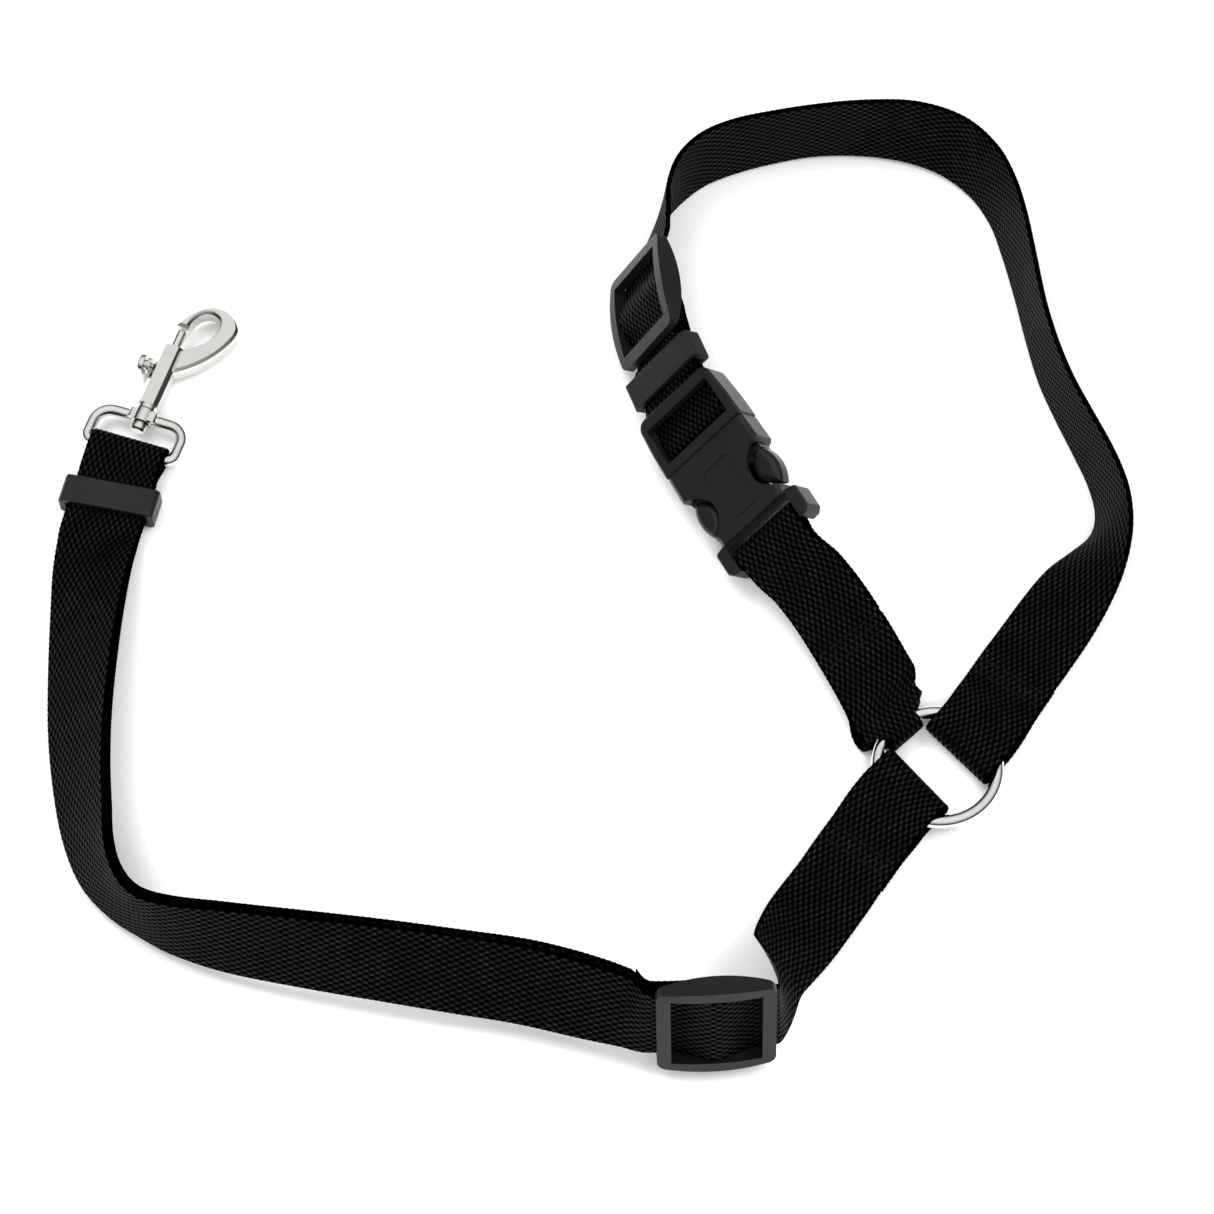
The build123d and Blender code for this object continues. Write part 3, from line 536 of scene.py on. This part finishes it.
def woven_band(name, sections):
    """A closed band of webbing through the sections, with its floats and scalloped edges modelled."""
    vertices, uvs = [], []
    travelled = 0.0
    last = sections[0][0]
    for point, right, face, half in sections:
        travelled += (point - last).length
        last = point
        ripple = EDGE_RIPPLE * math.cos(4 * math.pi * travelled / WEAVE_ALONG)
        for across, out, on_face in cross_section(half):
            bump = (weave_bump(travelled, across) - WEAVE_MIDDLE) * WEAVE_HEIGHT if on_face else 0.0
            widening = 0.0 if on_face else ripple
            spot = point + right * (across + math.copysign(1, across) * widening)
            spot += face * (out + math.copysign(1, out) * bump)
            vertices.append(to_row(spot))
            uvs.append((travelled, across))
    count = len(vertices) // len(sections)
    faces = []
    for i in range(len(sections) - 1):
        for j in range(count):
            k = (j + 1) % count
            faces.append((i * count + j, i * count + k, (i + 1) * count + k, (i + 1) * count + j))
    faces += end_cap(0, count, True) + end_cap(len(vertices) - count, count, False)
    mesh = bpy.data.meshes.new(name)
    mesh.from_pydata(vertices, [], faces)
    weave_uv = mesh.uv_layers.new(name="weave")
    for loop_corner in mesh.loops:
        weave_uv.data[loop_corner.index].uv = uvs[loop_corner.vertex_index]
    work = bmesh.new()
    work.from_mesh(mesh)
    bpy.data.meshes.remove(mesh)
    bmesh.ops.recalc_face_normals(work, faces=work.faces)
    return linked_object(name, work)


def ring_end(route, halves=None):
    """The sewn end: from the cut end under the strap, round the ring and back on top."""
    spread = [
        (0, RING_FOLD_RADIUS),
        (RING_FOLD_FLAT, RING_FOLD_RADIUS),
        (RING_FOLD_FLAT + 10, LAYER_OFFSET),
    ]
    under = layer(route, RING_SEWN_LENGTH, 0, spread, -1, halves)
    half = halves[0][1] if halves else HALF_WIDTH
    return under + fold(route.at(0), RING_FOLD_RADIUS, -1, -1, half), spread


def adjuster_strap(name, route, slider, far_radius, hump, tail_length, side):
    """A strap sewn to the ring that runs through a slider to a far fold, and back to the slider."""
    start, spread = ring_end(route)
    end = route.length
    before, after = slider - SLIDER_LENGTH / 2, slider + SLIDER_LENGTH / 2
    run_out = [*spread, (RING_SEWN_LENGTH, LAYER_OFFSET), (RING_SEWN_LENGTH + 8, 0)]
    through = [
        (before - 8, 0),
        (before - 1, RUN_UNDER_END_BAR),
        (before + SLIDER_END_BAR + 0.5, RUN_UNDER_END_BAR),
        (slider, RUN_OVER_CENTRE),
        (after - SLIDER_END_BAR - 0.5, RUN_UNDER_END_BAR),
        (end - FOLD_EASE, LAYER_OFFSET),
        (end, far_radius),
    ]
    back = [
        (slider, SECOND_OVER_CENTRE),
        (after - SLIDER_END_BAR - 0.5, -LAYER_OFFSET),
        *hump,
        (end - FOLD_EASE, -LAYER_OFFSET),
        (end, -far_radius),
    ]
    tail = [
        (slider, TAIL_LEVEL),
        (slider + 9, -3 * LAYER_OFFSET),
        (slider + tail_length, -3 * LAYER_OFFSET - 0.8),
    ]
    sections = start + layer(route, 0, before - 8.5, run_out)
    sections += layer(route, before - 8, end, through, side)
    sections += fold(route.at(end), far_radius, 1, side)
    sections += layer(route, end, slider, back, side)
    bar = route.at(slider).moved(out=side * CENTRE_BAR_LEVEL)
    sections += fold(bar, SLIDER_FOLD_RADIUS, -1, side)
    sections += layer(route, slider, slider + tail_length, tail, side)
    return woven_band(name, sections)


def short_strap(name, route):
    """The doubled strap between the ring and the buckle's socket."""
    halves = [(0, 6.1), (3.8, HALF_WIDTH)]
    start, spread = ring_end(route, halves)
    end = route.length
    top = [*spread, (end - FOLD_EASE, LAYER_OFFSET), (end, SOCKET_FOLD_RADIUS)]
    under = [(end - FOLD_EASE, -LAYER_OFFSET), (end, -SOCKET_FOLD_RADIUS)]
    sections = start + layer(route, 0, end, top, 1, halves)
    sections += fold(route.at(end), SOCKET_FOLD_RADIUS, 1, 1)
    sections += layer(route, end, RING_SEWN_LENGTH + 2, under)
    return woven_band(name, sections)


half_slider, half_keeper = SLIDER_LENGTH / 2, KEEPER_LENGTH / 2
loop = Route(LOOP_ROUTE, [
    (LOOP_SLIDER_STATION, half_slider, half_slider, 3.5),
    (LOOP_KEEPER_STATION, half_keeper, half_keeper, 3.5),
    (len(LOOP_ROUTE) - 1, PLUG_LENGTH - PLUG_BAR_PLACE, 0, 3.5),
])
short = Route(BUCKLE_STRAP_ROUTE, [
    (0, 0, 5, 8),
    (len(BUCKLE_STRAP_ROUTE) - 1, SOCKET_BAR + 2.4, 0, 12),
])
tether = Route(TETHER_ROUTE, [
    (TETHER_SLIDER_STATION, half_slider, half_slider, 9),
    (TETHER_KEEPER_STATION, half_keeper + KEEPER_TRAVEL, half_keeper, 7),
    (len(TETHER_ROUTE) - 1, 6, 0, 6),
])
loop_slider_mark = loop.marks[LOOP_SLIDER_STATION]
tether_slider_mark = tether.marks[TETHER_SLIDER_STATION]
after_slider = tether_slider_mark + half_slider
tether_hump = [
    (after_slider + 26, -LAYER_OFFSET - 2.4),
    (after_slider + 70, -LAYER_OFFSET - 1.2),
    (after_slider + 130, -LAYER_OFFSET - 0.4),
    (after_slider + 170, -LAYER_OFFSET),
]


def make_webbing():
    """The three straps. The buckle and tether straps ride on the webbing; the loop's band, whose far
    side rises towards the plug, is attached to no body.
    """
    loop_band = adjuster_strap(
        "loop_webbing", loop, loop_slider_mark, PLUG_FOLD_RADIUS, [], LOOP_TAIL, -1)
    short_band = short_strap("buckle_webbing", short)
    tether_band = adjuster_strap(
        "tether_webbing", tether, tether_slider_mark, EYE_FOLD_RADIUS, tether_hump, TETHER_TAIL, 1)
    for band, node in ((short_band, "buckle_strap"), (tether_band, "tether_strap")):
        finish_piece(band, "webbing", "webbing")
        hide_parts(node)
    loop_band.data.materials.append(MATERIALS["webbing"])
    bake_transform(loop_band)
    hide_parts("loop_strap")


# ---------------------------------------------------------------- mouldings and castings


def eased_copy(node, name, width):
    """The CAD shape with its sharp edges rounded over and its curved faces shaded smooth."""
    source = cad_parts[node]
    piece = source.copy()
    piece.data = source.data.copy()
    piece.name = name
    piece.data.name = name
    for key in [key for key in piece.keys() if key.startswith("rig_")]:
        del piece[key]
    piece.parent = None
    bpy.context.scene.collection.objects.link(piece)
    work = bmesh.new()
    work.from_mesh(piece.data)
    bmesh.ops.remove_doubles(work, verts=work.verts, dist=1e-6)
    bmesh.ops.dissolve_limit(
        work, angle_limit=math.radians(FLAT_ANGLE), verts=work.verts, edges=work.edges)
    work.to_mesh(piece.data)
    work.free()
    bpy.ops.object.select_all(action="DESELECT")
    bpy.context.view_layer.objects.active = piece
    piece.select_set(True)
    if width:
        bevel = piece.modifiers.new("ease", "BEVEL")
        bevel.width = width / 1000
        bevel.segments = EASE_SEGMENTS
        bevel.limit_method = "ANGLE"
        bevel.angle_limit = math.radians(EASE_ANGLE)
        bpy.ops.object.modifier_apply(modifier=bevel.name)
    bpy.ops.object.shade_smooth_by_angle(angle=math.radians(SMOOTH_ANGLE))
    weighted = piece.modifiers.new("flat_faces_stay_flat", "WEIGHTED_NORMAL")
    weighted.keep_sharp = True
    bpy.ops.object.modifier_apply(modifier=weighted.name)
    return piece


def make_mouldings():
    """Each moulding, casting and spring: its node, slot and body, and how far its edges are eased."""
    table = [
        ("loop_slider", "slider_plastic", "plug_side", 0.35),
        ("tether_slider", "slider_plastic", "webbing", 0.35),
        ("loop_keeper", "slider_plastic", "loop_keeper_band", 0.3),
        ("tether_keeper", "slider_plastic", "tether_keeper_band", 0.3),
        ("buckle_socket", "buckle_plastic", "webbing", 0.3),
        ("buckle_plug", "buckle_plastic", "plug_side", 0.35),
        ("latch_arm_left", "buckle_buttons", "left_latch", 0.25),
        ("latch_arm_right", "buckle_buttons", "right_latch", 0.25),
        ("snap_body", "polished_metal", "snap", 0.12),
        ("snap_eye", "polished_metal", "eye", 0.15),
        ("swivel_rivet", "polished_metal", "snap", 0.1),
        ("snap_bolt", "polished_metal", "bolt", 0.1),
        ("snap_thumb_knob", "polished_metal", "bolt", 0.15),
        ("snap_spring", "spring_steel", "snap", 0.0),
    ]
    for node, slot, body, ease in table:
        piece = eased_copy(node, node + "_eased", ease)
        finish_piece(piece, slot, body)
        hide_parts(node)


def make_ring():
    """The welded ring, with the slight bead of its weld."""
    radius = RING_RADIUS / 1000
    bpy.ops.mesh.primitive_torus_add(
        location=RING_CENTRE, major_radius=radius, minor_radius=RING_WIRE / 2000,
        major_segments=144, minor_segments=32)
    ring = bpy.context.object
    ring.name = "welded_ring"
    weld_angle = math.radians(-75)
    weld_half_angle = 0.035
    weld_growth = 0.035
    for vertex in ring.data.vertices:
        angle = math.atan2(vertex.co.y, vertex.co.x)
        near = math.exp(-((angle - weld_angle) / weld_half_angle) ** 2)
        middle = Vector((math.cos(angle), math.sin(angle), 0)) * radius
        vertex.co = middle + (vertex.co - middle) * (1 + weld_growth * near)
    ring.data.transform(Matrix.Translation(RING_CENTRE))
    ring.location = (0, 0, 0)
    bpy.ops.object.shade_smooth()
    finish_piece(ring, "polished_metal", "ring")
    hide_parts("o_ring")


def stitch_mesh(name, frames):
    """Lock stitches: a short rounded loop of thread at each frame, lying across the webbing."""
    work = bmesh.new()
    for at in frames:
        turn = Matrix((at.right, at.travel, at.face)).transposed().to_4x4()
        place = Matrix.Translation(to_row(at.point)) @ turn
        half_sizes = (STITCH_LENGTH / 2, THREAD_HALF_WIDTH, THREAD_HALF_HEIGHT)
        size = Matrix.Diagonal((*(half / 1000 for half in half_sizes), 1))
        bmesh.ops.create_uvsphere(work, u_segments=10, v_segments=8, radius=1.0, matrix=place @ size)
    return linked_object(name, work)


def make_stitching():
    """Rows of stitches across each sewn end. The short strap's come later, past its tapered fold."""
    on_top = LAYER_OFFSET + STRAP_THICKNESS / 2 + THREAD_HALF_HEIGHT / 2
    count = int((STRAP_WIDTH - 4) / STITCH_PITCH)
    for name, route, start in (
        ("loop_ring_stitches", loop, FIRST_STITCH_ROW),
        ("tether_ring_stitches", tether, FIRST_STITCH_ROW),
        ("buckle_strap_stitches", short, FIRST_STITCH_ROW + 3),
    ):
        frames = []
        for row in range(STITCH_ROWS):
            at = route.at(start + row * STITCH_ROW_GAP).moved(out=on_top)
            for i in range(count):
                across = (i - (count - 1) / 2) * STITCH_PITCH
                frames.append(Frame(at.at(across), at.travel, at.right, at.face))
        piece = stitch_mesh(name + "_thread", frames)
        finish_piece(piece, "thread", "webbing")
        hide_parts(name)


# ---------------------------------------------------------------- studio


def make_camera():
    """A long view from the front, looking steeply down at the middle of the straps."""
    elevation = math.radians(62)
    distance = 1.0
    half_view = math.atan(607 / 3250)
    target = to_row(Vector((-98.6, 56.1, 0)))
    back = Vector((0, -math.cos(elevation), math.sin(elevation)))
    data = bpy.data.cameras.new("camera")
    camera = bpy.data.objects.new("camera", data)
    bpy.context.scene.collection.objects.link(camera)
    camera.location = target + back * distance
    camera.rotation_mode = "QUATERNION"
    camera.rotation_quaternion = (-back).to_track_quat("-Z", "Y")
    data.angle = 2 * half_view
    data.clip_start = 0.01
    data.clip_end = 30
    bpy.context.scene.camera = camera


def soft_light(name, place, size, power):
    """A large lamp aimed at the object, hidden from the metal's reflections."""
    data = bpy.data.lights.new(name, "AREA")
    data.shape = "RECTANGLE"
    data.size, data.size_y = size
    data.energy = power
    light = bpy.data.objects.new(name, data)
    bpy.context.scene.collection.objects.link(light)
    light.location = place
    light.rotation_mode = "QUATERNION"
    light.rotation_quaternion = (-Vector(place)).to_track_quat("-Z", "Y")
    light.visible_glossy = False


def make_sky():
    """A light tent: bright overhead, falling to a dark room at the horizon, for the metal to show."""
    world = bpy.data.worlds.new("studio")
    world.use_nodes = True
    tree = world.node_tree
    place = tree.nodes.new("ShaderNodeTexCoord")
    split = tree.nodes.new("ShaderNodeSeparateXYZ")
    ramp = tree.nodes.new("ShaderNodeValToRGB")
    tree.links.new(place.outputs["Generated"], split.inputs["Vector"])
    tree.links.new(split.outputs["Z"], ramp.inputs["Fac"])
    stops = [(0.0, 0.03), (0.36, 0.06), (0.6, 0.5), (0.8, 0.88), (1.0, 1.05)]
    elements = ramp.color_ramp.elements
    while len(elements) < len(stops):
        elements.new(0.5)
    for element, (position, level) in zip(elements, stops):
        element.position = position
        element.color = (level, level, level, 1)
    background = tree.nodes["Background"]
    tree.links.new(ramp.outputs["Color"], background.inputs["Color"])
    return world


def make_studio():
    """A white floor just under the object, the light tent and three soft lamps."""
    bpy.ops.mesh.primitive_plane_add(size=12, location=(0, 0, -0.0002))
    floor = bpy.context.object
    floor.name = "studio_floor"
    n = Nodes("studio_floor")
    n.set(Base_Color=(0.93, 0.93, 0.93, 1), Roughness=0.9, Specular_IOR_Level=0.1)
    floor.data.materials.append(n.material)
    bpy.context.scene.world = make_sky()
    soft_light("key", (-0.9, 0.9, 1.5), (1.2, 1.2), 30)
    soft_light("fill", (1.2, 0.2, 1.3), (1.2, 1.2), 18)
    soft_light("front", (0.1, -1.3, 1.2), (1.4, 0.8), 14)
    bpy.context.scene.view_settings.view_transform = "Standard"


make_webbing()
make_mouldings()
make_ring()
make_stitching()
make_camera()
make_studio()
